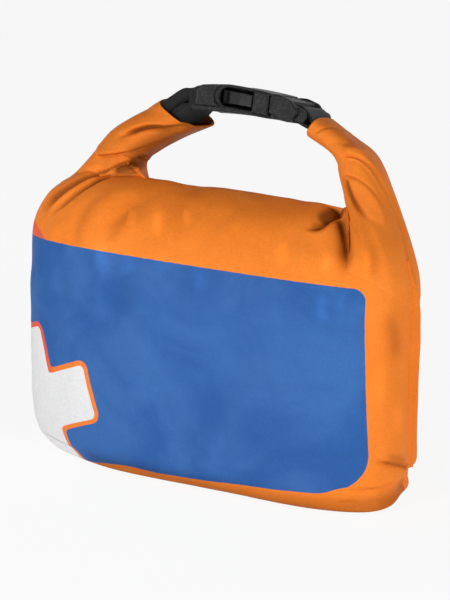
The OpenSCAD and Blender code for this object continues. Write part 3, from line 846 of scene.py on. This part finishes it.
def body_rings(side, angles, front_angle, back_angle, levels, lift):
    """Cloth of a leg that still lies along the pouch: rings that leave its dressed surface.
    levels are the stations at the front, the seam and the back."""
    a = np.degrees(angles)
    in_front, inner = a <= 0, a > INNER
    share = np.where(in_front, (a + INNER) / INNER, 1 - np.clip(a / INNER, 0, 1))  # 1 at the seam
    plan = np.radians(np.where(in_front, front_angle, back_angle)) * (1 - share)
    if side < 0:
        plan = math.pi - plan
    level = np.interp(share, [0, 1], levels[:2])
    level = np.where(in_front, level, np.interp(share, [0, 1], levels[:0:-1]))
    over = np.where(in_front, np.interp(share, [0, 0.7], [lift, 0.2]), 0.2)
    middle = np.array([side * (SHOULDER_X - 16), 2.0, 80.0])

    def surface(t, turn):
        return np.where(in_front[:, None], on_cloth(front_points, t, turn),
                        on_cloth(back_points, t, turn))

    rings = []
    for k in np.linspace(0, 1, BODY_RINGS):
        stage = level - RING_STATIONS * (1 - k)
        ring = surface(stage, plan)
        normal = unit(np.cross(surface(stage + STEP, plan) - ring,
                               surface(stage, plan + STEP) - ring))
        normal *= np.sign(np.sum(normal * (ring - middle), 1))[:, None]
        ring = ring + normal * (-1.2 + (over + 1.2) * smooth(k / 0.75))[:, None]
        first, last = ring[~inner][-1], ring[0]
        ring[inner] = first + (last - first) * ((a - INNER) / 90)[inner, None]
        rings.append(ring)
    return np.array(rings)


def leg(side, keys, rows, mouth, pull, *place_on_body):
    """A leg's cloth from the pouch to its open end, its uv, and how far each row is its own."""
    angles = np.radians(np.linspace(-INNER, 360 - INNER, COLS, endpoint=False))
    tube = leg_tube(keys, side, rows, angles, mouth)
    base = body_rings(side, angles, *place_on_body)
    up = base[-1] - base[-4]
    up = unit(sum(np.roll(up, k, axis=0) for k in range(-7, 8)))     # evened out over the folds
    up[np.degrees(angles) > INNER] = (0, 0, 1)
    t = np.linspace(0, 1, RUN_ROWS, endpoint=False)[:, None, None]
    span = np.linalg.norm(tube[0] - base[-1], axis=1)[None, :, None] * pull
    lower = hermite(t, base[-1], span * up, tube[0], span * unit(tube[1] - tube[0]))
    points = np.concatenate([base[:-1], lower, tube])
    uv = np.stack(np.meshgrid(arc(tube[0]) * side, arc(points[:, COLS // 3]) + 60), 2)
    own = np.concatenate([np.zeros(len(base) - 1), smooth(t.ravel()), np.ones(rows)])
    return points, uv, own[:, None]


def outward(points):
    """Normals of a closed tube of cloth, facing out."""
    n = grid_normals(points, closed=True)
    if np.mean(np.sum(n * (points - points.mean(axis=1, keepdims=True)), -1)) < 0:
        n = -n
    return n


def folded(points, own, folds, side):
    """The leg's cloth with its folds and painted shade: below, it already follows the folds of the
    pouch and their painted shade.
    """
    n = outward(points)
    facing = front_facing(n)
    high, shade = apply_folds(points, folds, facing)
    _, below = apply_folds(points, FRONT_FOLDS, facing)
    # painted shade over the leg's own cloth, deeper where the left leg faces down
    painted_leg_shade = 0.30 + 0.38 * smooth((0.2 - n[..., 2]) / 0.6) if side < 0 else 0.24
    shade = stronger(stronger(shade, smooth(own * 1.6) * painted_leg_shade), (1 - own) * below)
    return points + (own * high)[..., None] * n, shade


def hemmed(points, uv, shade, deep=26, gap=0.8):
    """The open end turned in: its last rings run back inside the cloth, with an even painted shade.
    """
    inward = unit(points.mean(axis=1, keepdims=True) - points)
    lip = points[-1] + 0.5 * gap * inward[-1] + 0.3 * unit(points[-1] - points[-4])
    turned = (points + gap * inward)[::-1][:deep]
    # the turned-in rings carry a painted shade of 0.5
    return (np.concatenate([points, lip[None], turned]),
            np.concatenate([uv, uv[-1:], uv[::-1][:deep]]),
            np.concatenate([shade, shade[-1:], 0.5 + 0 * shade[::-1][:deep]]))


def leg_piece(name, node, points, uv, shade, side, thick=0):
    obj = grid_object(name, points, uv, ORANGE_CLOTH, closed=True, thick=thick, flip=(side < 0),
                      shade=shade)
    hand_over(obj, "orange_fabric", node)
    return obj


def loop_spot(x, z):
    """A point of the loop's own middle plane, in metres."""
    return tuple(in_world(np.array([float(x), 0.0, float(z)])) * MM)


points, uv, own = leg(-1, LEFT_KEYS, LEFT_ROWS, lambda c, q: -4.6 * c - 1.2 + 2.4 * q, 0.5,
                      64, 62, (2.70, 2.68, 2.6), -0.9)
points, shade = folded(points, own, LEFT_FOLDS, -1)
left_leg = leg_piece("left_leg_cloth", "left_roll_leg", points, uv, shade, -1, 0.8)

points, uv, own = leg(1, RIGHT_KEYS, RIGHT_ROWS, lambda c, q: 0.4 * c - 1.3, 0.9,
                      47.5, 52, (2.38, 2.12, 2.3), 0.35)
points, shade = folded(points, own, RIGHT_FOLDS, 1)
split = len(points) - RIGHT_ROWS + ROWS_BELOW_SPLIT
right_root = leg_piece("right_leg_cloth", "right_roll_leg_root",
                       points[:split + 1], uv[:split + 1], shade[:split + 1], 1)
right_tip = leg_piece("right_leg_tip_cloth", "right_roll_leg_tip",
                      *hemmed(points[split:], uv[split:], shade[split:]), 1)
RELEASE_BLEND = dict(start=loop_spot(0, 3.2), end=loop_spot(0, 17))  # start and end spots for straightening the opened leg; nothing here uses them
loop_spot(0, -10)
loop_spot(0, 6)
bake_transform(left_leg)
loop_spot(0, -13)
loop_spot(0, 1)
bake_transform(right_root)
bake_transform(right_tip)

# ---------------------------------------------------------------- plastics, webbing, kit


def plastic_material(name, colour, rough, grain, gloss):
    """Moulded plastic with a fine spark-eroded grain and slight wear, its edges lighter as wear and
    as a painted highlight.
    """
    g = Graph(bpy.data.materials.new(name))
    pos = g.position()
    fine, worn = g.noise(pos, 1500.0, 2.0, 0.6), g.noise(pos, 220.0, 4.0, 0.6)
    # edges lighter: partly wear, partly a painted highlight; the light specks from the grain stay
    # grain
    edge = g.ramp(g.node("NewGeometry", output="Pointiness"), 0.515, 0.57, 0.0, 0.75)
    wear_and_edge_highlight = g.math("MAXIMUM", edge, g.ramp(fine, 0.5, 0.7, 0.0, 0.6 * grain))
    plain = g.mix(g.ramp(worn, 0.35, 0.75), scaled(colour, 0.75), scaled(colour, 1.5, 0.004))
    g.shade({"Base Color": g.mix(wear_and_edge_highlight, plain, scaled(colour, 1, 0.045)),
             "Roughness": g.ramp(worn, 0.3, 0.7, rough - 0.06, rough + 0.08),
             "Specular IOR Level": gloss, "Normal": g.bump(fine, 0.00006, grain)})
    return g.owner


def webbing_material(name, colour):
    """Ribbed woven tape, its threads running along the uv's u."""
    g = Graph(bpy.data.materials.new(name))
    pos = g.position()
    u, v = g.cloth()
    across = g.sine(v * (2 * math.pi / 0.9))
    along = g.sine(u * (2 * math.pi / 1.1) + across * 1.6)
    height = (across + along) * 0.5 + g.noise(pos, 2200.0, 2.0, 0.7) * 0.8
    # darker where the ribs lie low: painted shade in the weave, with its fine grain
    g.shade({"Base Color": g.mix(g.ramp(height, -0.6, 1.4), scaled(colour, 0.55), colour),
             "Roughness": 0.72, "Sheen Weight": 0.06, "Specular IOR Level": 0.2,
             "Normal": g.bump(height, 0.0002, 0.35)})
    return g.owner


def soft_material(name, colour, second, scale, rough, bump=0.4, distance=0.0003, metal=0.0):
    """Paper, gauze, tape, film or metal: two tones, and relief at one scale."""
    g = Graph(bpy.data.materials.new(name))
    pos = g.position()
    coarse, fine = g.noise(pos, scale, 4.0, 0.55, 0.3), g.noise(pos, scale * 9, 2.0, 0.6)
    g.shade({"Base Color": g.mix(g.ramp(coarse, 0.35, 0.68), rgb(*colour), rgb(*second)),
             "Roughness": g.ramp(fine, 0.3, 0.7, rough - 0.05, rough + 0.08),
             "Metallic": metal, "Specular IOR Level": 0.4,
             "Normal": g.bump(coarse + fine * 0.35, distance, bump)})
    return g.owner


BLACK_PLASTIC = plastic_material("black_plastic_fine", rgb(0.006, 0.006, 0.0065), 0.45, 0.9, 0.09)
LATCH_PLASTIC = plastic_material("black_plastic_polished", rgb(0.004, 0.004, 0.0045),
                                 0.28, 0.1, 0.07)
BLACK_WEBBING = webbing_material("black_ribbed_webbing", rgb(0.009, 0.009, 0.0095))
KIT = {
    # node: material, its two tones, scale, roughness, then bump, its depth and metal
    "triangular_bandage": ("folded_cotton", (0.82, 0.82, 0.79), (0.70, 0.70, 0.67), 300, 0.85),
    "compress_packs": ("sachet_paper_white", (0.82, 0.83, 0.82), (0.70, 0.74, 0.76), 120, 0.6),
    "instruction_leaflet": ("leaflet_paper", (0.80, 0.80, 0.75), (0.72, 0.72, 0.66), 90, 0.7),
    "gauze_rolls": ("gauze_weave", (0.84, 0.83, 0.79), (0.70, 0.69, 0.65), 700, 0.9, 0.8, 0.0006),
    "wound_dressing": ("dressing_wrap", (0.80, 0.81, 0.80), (0.66, 0.70, 0.70), 160, 0.55),
    "adhesive_tape": ("tape_cloth", (0.74, 0.63, 0.50), (0.64, 0.52, 0.40), 500, 0.7),
    "tape_core_ring": ("core_plastic", (0.76, 0.77, 0.78), (0.66, 0.67, 0.68), 200, 0.4),
    "plaster_pack": ("plaster_sachet", (0.80, 0.77, 0.70), (0.70, 0.66, 0.58), 150, 0.55),
    "glove_pack": ("glove_film", (0.16, 0.33, 0.62), (0.12, 0.26, 0.52), 140, 0.35),
    "tweezers": ("brushed_steel", (0.62, 0.63, 0.64), (0.52, 0.53, 0.55), 900, 0.3, 0.3, 0.0001,
                 1.0),
    "rescue_blanket": ("metal_film", (0.80, 0.62, 0.24), (0.66, 0.48, 0.16), 160, 0.25, 0.8,
                       0.0008, 0.9),
    "stiffening_strip": None,
}
for node, values in KIT.items():
    material = soft_material(*values) if values else BLACK_PLASTIC
    obj = bpy.data.objects.get(node) or next(o for o in bpy.data.objects if o.name.startswith(node))
    for slot in obj.material_slots:
        slot.material = material

# ---------------------------------------------------------------- rolled mouth and side seams

ROLL_Y, ROLL_W, ROLL_T, ROLL_TURNS, ROLL_HALF = 20.0, 22.0, 9.4, 3, 39.4
SEAM_OUT = np.array([-2.4, -1.2, -0.4, 0.3, 0.9, 1.6, 2.3, 3.0, 3.5, 3.6])


def rolled_mouth():
    """The mouth, rolled flat round its stiffening strip, over the back of the tuck."""
    turns = np.linspace(0.0, ROLL_TURNS + 0.12, 190)
    x, turn = np.meshgrid(np.linspace(-ROLL_HALF, ROLL_HALF, 90), turns)
    r = 1.5 + (ROLL_T - 4) / 2 / ROLL_TURNS * turns
    a = 2 * math.pi * turns
    y = ((ROLL_W - ROLL_T) / 2 + 0.5) * np.clip(3 * np.cos(a), -1, 1) + r * np.cos(a)
    z = r * np.sin(a)
    grow = 1 + 0.05 * perlin(x / 17, turn * 1.7, 31) * smooth((turn - 1.5) / 1.5)
    points = np.stack([x, ROLL_Y + y[:, None] * grow,
                       TUCK_Z + 4.1 + z[:, None] * grow - 0.4 * (x / ROLL_HALF) ** 2], 2)
    uv = np.stack([x, arc(np.stack([y, z], 1))[:, None] + 0 * x], 2)
    obj = grid_object("rolled_mouth_cloth", points, uv, ORANGE_CLOTH, thick=0.45, offset=0.0)
    hand_over(obj, "orange_fabric", "rolled_mouth", body="pouch")


def hand(side):
    return "right" if side > 0 else "left"


def side_seam(side):
    """Welded seam allowance that stands out at the side."""
    t = np.concatenate([np.linspace(0.93, 1, 5, endpoint=False),
                        np.linspace(1, 2, 60, endpoint=False), np.linspace(2, 2.45, 26)])
    x, y, z = seam_line(t)
    run = unit(np.gradient(np.stack([x, z], 1), axis=0))
    keep = (smooth((z - 11.2) / 1.0) * smooth((t[-1] - t) / 0.45)
            * (0.30 + 0.44 * smooth((z - 14) / 50)))
    wave = perlin(z / 9, 0 * z, 41 + (side > 0)) * 0.5
    rows = []
    for out in SEAM_OUT:
        stretch = np.where(out > 0, keep, 1.0)
        rows.append(np.stack([side * (x - 0.7 + 0.95 * out * stretch * run[:, 1]),
                              y - 0.9 + (0.95 * out + wave * max(out, 0) / 3.6) * stretch,
                              z - out * stretch * run[:, 0]], 1))
    uv = np.stack(np.meshgrid(SEAM_OUT, z), 2)
    obj = grid_object(f"{hand(side)}_seam_cloth", foot(np.stack(rows, 1)), uv, ORANGE_CLOTH,
                      thick=1.1, offset=0.0)
    hand_over(obj, "orange_fabric", f"{hand(side)}_side_seam", body="pouch")


rolled_mouth()
side_seam(-1)
side_seam(1)

# ---------------------------------------------------------------- buckle and its webbing

SOCKET_END, PLUG_END = -20.0, 27.5
BAR = {-1: SOCKET_END + 3.3, 1: PLUG_END - 3.3}
BAR_R, BAR_HALF = 1.7, 12
TAIL = {-1: (12.0, 9.5), 1: (12.2, 6.6)}
ARCH, ARCH_X, ARCH_DROP = 0.0034, -5.0, 0.5
WEB_HALF, WEB_T, WEB_MIDDLE, WEB_EDGE = 10.0, 0.66, 2.6, 3.3


def from_buckle(points):
    """From the buckle's own frame to the world, in mm, with its slight bow along its length."""
    p = np.array(points, float)
    p[..., 2] -= ARCH_DROP + ARCH * (np.clip(p[..., 0], -21.0, PLUG_END) - ARCH_X) ** 2
    p[..., 2] += LOOP_H
    return in_world(p)


def webbing(side, node, spread, bulk=0.0):
    """Webbing sewn into a loop round its bar, its two plies running down into the leg."""
    run = math.hypot(*TAIL[side])
    dx, dz = side * TAIL[side][0] / run, -TAIL[side][1] / run
    nx, nz = -dz, dx

    def ply(shares, turn, apart):
        gaps = [turn * (WEB_MIDDLE + (apart - WEB_MIDDLE) * smooth(k / 0.5)) for k in shares]
        return [(gap * nx + k * run * dx, gap * nz + k * run * dz) for k, gap in zip(shares, gaps)]

    bend = [(WEB_MIDDLE * (-math.cos(a) * dx + math.sin(a) * nx),
             WEB_MIDDLE * (-math.cos(a) * dz + math.sin(a) * nz))
            for a in np.radians(np.linspace(-90, 90, 19))]           # round the bar
    shares = np.linspace(0.04, 1, 16)
    centre = np.array(ply(shares[::-1], -1, spread[0]) + bend + ply(shares, 1, spread[1]))
    tangent = unit(np.gradient(centre, axis=0))
    upper = [(-WEB_HALF, 0.0), (0.35 - WEB_HALF, WEB_T), (1.2 - WEB_HALF, WEB_T),
             (-WEB_EDGE, WEB_T), (WEB_EDGE, WEB_T), (WEB_HALF - 1.2, WEB_T),
             (WEB_HALF - 0.35, WEB_T)]
    section = upper + [(-y, -h) for y, h in upper]
    rows, uv = [], []
    for (cx, cz), (tx, tz), s in zip(centre, tangent, arc(centre)):
        narrow = 1 - 0.16 * smooth((side * cx - 2) / 9)     # the edges draw together in the leg
        thick = 1 + bulk * smooth((side * cx - 1) / 5)
        rows.append([(BAR[side] + cx - thick * h * tz, y * narrow, cz + thick * h * tx)
                     for y, h in section])
        uv.append([(s, y) for y, h in section])
    obj = grid_object(f"{hand(side)}_webbing", from_buckle(rows), np.array(uv, float),
                      BLACK_WEBBING, closed=True, thick=0, flip=(side > 0))
    hand_over(obj, "black_webbing", node)
    return obj


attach(webbing(-1, "left_webbing_loop", (3.7, 1.3), bulk=2.6), "carry_loop")
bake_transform(webbing(1, "right_webbing_loop", (0.8, 0.8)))


def prism(outline, low, high, axis="z"):
    """Solid from an outline: (x, y) up z, or (x, z) across y."""
    n = len(outline)
    verts = [(a, b, c) if axis == "z" else (a, c, b) for c in (low, high) for a, b in outline]
    faces = [tuple(range(n))[::-1], tuple(range(n, 2 * n))]
    faces += [(k, (k + 1) % n, n + (k + 1) % n, n + k) for k in range(n)]
    mesh = bpy.data.meshes.new("cut")
    mesh.from_pydata(verts, [], faces)
    bm = bmesh.new()
    bm.from_mesh(mesh)
    bmesh.ops.recalc_face_normals(bm, faces=bm.faces)
    bm.to_mesh(mesh)
    bm.free()
    return place("cut", mesh)


def slab(x0, x1, y0, y1, z0, z1):
    return prism([(x0, y0), (x1, y0), (x1, y1), (x0, y1)], z0, z1)


def bar(x):
    ring = [2 * math.pi * k / 40 for k in range(40)]
    return prism([(x + BAR_R * math.cos(a), BAR_R * math.sin(a)) for a in ring],
                 -BAR_HALF, BAR_HALF, "y")


def beside(side, near, far):
    """Low and high ends of what runs from near to far on one side."""
    return sorted((side * near, side * far))


def window(x, bulge, high, x1, span):
    """Cut across y with a rounded inner end at x and square corners at x1."""
    turn = [math.radians(a) for a in range(0, 181, 12)]
    outline = [(x - bulge * math.sin(a), high * math.cos(a)) for a in turn]
    return prism(outline + [(x1, -high), (x1, high)], *span, "y")


def rounded_outline(*corners):
    """Outline through corners (x, y, radius), each rounded."""
    out = []
    for k, (x, y, r) in enumerate(corners):
        if r <= 0:
            out.append((x, y))
            continue
        p = Vector((x, y))
        a, b = Vector(corners[k - 1][:2]), Vector(corners[(k + 1) % len(corners)][:2])
        da, db = (a - p).normalized(), (b - p).normalized()
        cut = r / math.tan(da.angle(db) / 2)
        start, end = p + da * cut, p + db * cut
        for t in (i / 8 for i in range(9)):
            out.append(tuple((1 - t) ** 2 * start + 2 * t * (1 - t) * p + t * t * end))
    return out


def bake(obj):
    """Turn the object's modifiers into its mesh."""
    bpy.context.view_layer.update()
    graph, old = bpy.context.evaluated_depsgraph_get(), obj.data
    obj.data = bpy.data.meshes.new_from_object(obj.evaluated_get(graph))
    obj.modifiers.clear()
    bpy.data.meshes.remove(old)
    return obj.data


def solid(name, base, steps, material, body, node, voxel=0.24, smoothing=5, budget=16000):
    """Moulded piece: base shape, then (operation, shape) steps, its edges softened."""
    for operation, other in steps:
        mod = base.modifiers.new("join", "BOOLEAN")
        mod.operation, mod.object, mod.solver = operation, other, "EXACT"
        bake(base)
        bpy.data.objects.remove(other)
    remesh = base.modifiers.new("remesh", "REMESH")
    remesh.mode, remesh.voxel_size, remesh.use_smooth_shade = "VOXEL", voxel, True
    soft = base.modifiers.new("soft", "SMOOTH")
    soft.factor, soft.iterations = 0.5, smoothing
    mesh = bake(base)
    if len(mesh.polygons) * 2 > budget:
        base.modifiers.new("fewer", "DECIMATE").ratio = budget / (len(mesh.polygons) * 2)
        mesh = bake(base)
    mesh.vertices.foreach_set("co", (from_buckle([v.co for v in mesh.vertices]) * MM).ravel())
    mesh.update()
    paint(mesh, material)
    base.name = mesh.name = name
    hand_over(base, "black_plastic", node, body=body)


def build_socket():
    base = prism(rounded_outline((-20, -12.4, 3.2), (-15.5, -14, 3), (13, -14, 0.8), (13, 14, 0.8),
                                 (-15.5, 14, 3), (-20, 12.4, 3.2)), -5.8, 5.2)
    profile = rounded_outline((-20.6, -2.0, 1.2), (-17.4, -5.8, 2.2), (-4, -5.7, 5),
                              (13, -4.8, 0.6), (13, 4.5, 0.6), (-4, 4.6, 5), (-14.4, 3.5, 4),
                              (-20.4, 0.2, 1.2))
    cuts = []
    for side in (-1, 1):
        for z0, z1 in ((4.0, 6), (-6, -4.0)):               # long edges step in
            cuts.append(slab(-21, 14, *beside(side, 13.2, 14.1), z0, z1))
        cuts.append(window(-4.6, 4.4, 4.3, 6.5, beside(side, 13.15, 15)))
        cuts.append(window(-4.0, 3.3, 3.5, 6.4, beside(side, 9.0, 16)))
    cuts.append(slab(-7.5, 14, -12.3, 12.3, -3.0, 3.0))
    cuts.append(slab(-22, -13.1, -10.7, 10.7, -6, 6))
    panels = [prism(rounded_outline((-11, -9, 2), (4, -9, 2), (4, 9, 2), (-11, 9, 2)), z0, z1)
              for z0, z1 in ((4.45, 5.4), (-5.4, -4.45))]   # shallow, on each broad face
    steps = ([("INTERSECT", prism(profile, -16, 16, "y"))] + [("DIFFERENCE", c) for c in cuts]
             + [("UNION", bar(BAR[-1]))] + [("DIFFERENCE", p) for p in panels])
    solid("buckle_socket_moulded", base, steps, BLACK_PLASTIC, "carry_loop", "buckle_socket",
          budget=26000)


def build_plug():
    leaf = rounded_outline((13.3, -2.6, 0.6), (16.0, -2.9, 1.2), (17.6, -4.1, 1.6),
                           (22.0, -3.7, 2.0), (24.8, 1.0, 1.4), (21.2, 4.3, 2.0),
                           (16.5, 4.9, 2.5), (13.3, 4.4, 0.6))
    arm = rounded_outline((19, -2.6, 0.6), (26.6, -2.4, 1.8), (27.6, 0, 1.5), (26.6, 2.4, 1.8),
                          (19, 2.8, 0.6))
    added, cuts = [], []
    for side in (-1, 1):
        added.append(prism(leaf, *beside(side, 12.1, 14.15), "y"))
        added.append(prism(arm, *beside(side, 10.7, 12.5), "y"))
        cuts.append(slab(12, 19.4, *beside(side, 8.7, 12.3), -2.9, 2.9))
        for x in (15.2, 17.4):                              # grooves across the broad faces
            cuts.append(slab(x, x + 0.9, -11, 11, *beside(side, 3.55, 5)))
    added += [bar(BAR[1]), slab(-6.5, 14.5, -2.2, 2.2, -2.8, 2.8)]
    steps = [("UNION", a) for a in added] + [("DIFFERENCE", c) for c in cuts]
    solid("buckle_plug_moulded", slab(13.3, 20.6, -12.4, 12.4, -4.0, 4.0), steps, BLACK_PLASTIC,
          "release_half", "buckle_plug", budget=22000)


def build_latch(side):
    outline = [(18, 9.85, 0.5), (19.0, 10.9, 0.9), (18, 11.95, 0.5), (6.2, 12.0, 0),
               (6.1, 13.0, 0.5), (1.5, 13.3, 3), (-3.2, 12.9, 0.8), (-4.6, 12.0, 0.5),
               (-6.5, 11.6, 0.8), (-6.5, 9.9, 0.6)]
    base = prism(rounded_outline(*[(x, side * y, r) for x, y, r in outline]), -2.3, 2.3)
    name = "front" if side < 0 else "back"
    solid(f"{name}_latch_moulded", base, [], LATCH_PLASTIC, f"{name}_latch", f"{name}_latch_arm",
          voxel=0.2, smoothing=3, budget=6000)


build_socket()
build_plug()
build_latch(-1)
build_latch(1)

# ---------------------------------------------------------------- last update

bpy.context.view_layer.update()
